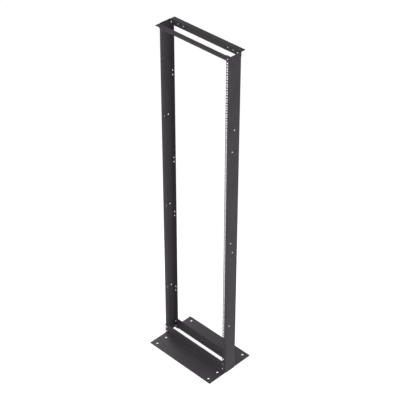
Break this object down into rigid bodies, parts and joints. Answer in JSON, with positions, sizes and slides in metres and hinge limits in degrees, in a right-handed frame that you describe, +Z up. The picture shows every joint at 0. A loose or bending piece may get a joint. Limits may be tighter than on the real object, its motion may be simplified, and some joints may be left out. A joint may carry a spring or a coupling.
{
  "type": "two post equipment rack",
  "caption": "Floor standing open frame rack: two perforated steel channel posts bolted between floor angles and light top angles.",
  "frame": {"origin": "on the floor, midway between the posts and midway between the front and rear faces", "axes": "+Z up, +X across the width, -Y out of the equipment face"},
  "size_m": [0.511, 0.344, 2.126],
  "materials": {
    "powder_coat": "satin fine-textured charcoal powder coat",
    "zinc_plate": "clear zinc plate, satin"
  },
  "bodies": {
    "root": {"left_post": "powder_coat", "right_post": "powder_coat", "front_base_angle": "powder_coat", "rear_base_angle": "powder_coat", "front_top_angle": "powder_coat", "rear_top_angle": "powder_coat", "bolt_front_left_low": "zinc_plate", "bolt_front_left_high": "zinc_plate", "bolt_front_left_top": "zinc_plate", "bolt_front_right_low": "zinc_plate", "bolt_front_right_high": "zinc_plate", "bolt_front_right_top": "zinc_plate", "bolt_rear_left_low": "zinc_plate", "bolt_rear_left_high": "zinc_plate", "bolt_rear_left_top": "zinc_plate", "bolt_rear_right_low": "zinc_plate", "bolt_rear_right_high": "zinc_plate", "bolt_rear_right_top": "zinc_plate", "nut_front_left_low": "zinc_plate", "nut_front_left_high": "zinc_plate", "nut_front_left_top": "zinc_plate", "nut_front_right_low": "zinc_plate", "nut_front_right_high": "zinc_plate", "nut_front_right_top": "zinc_plate", "nut_rear_left_low": "zinc_plate", "nut_rear_left_high": "zinc_plate", "nut_rear_left_top": "zinc_plate", "nut_rear_right_low": "zinc_plate", "nut_rear_right_high": "zinc_plate", "nut_rear_right_top": "zinc_plate"}
  },
  "joints": []
}
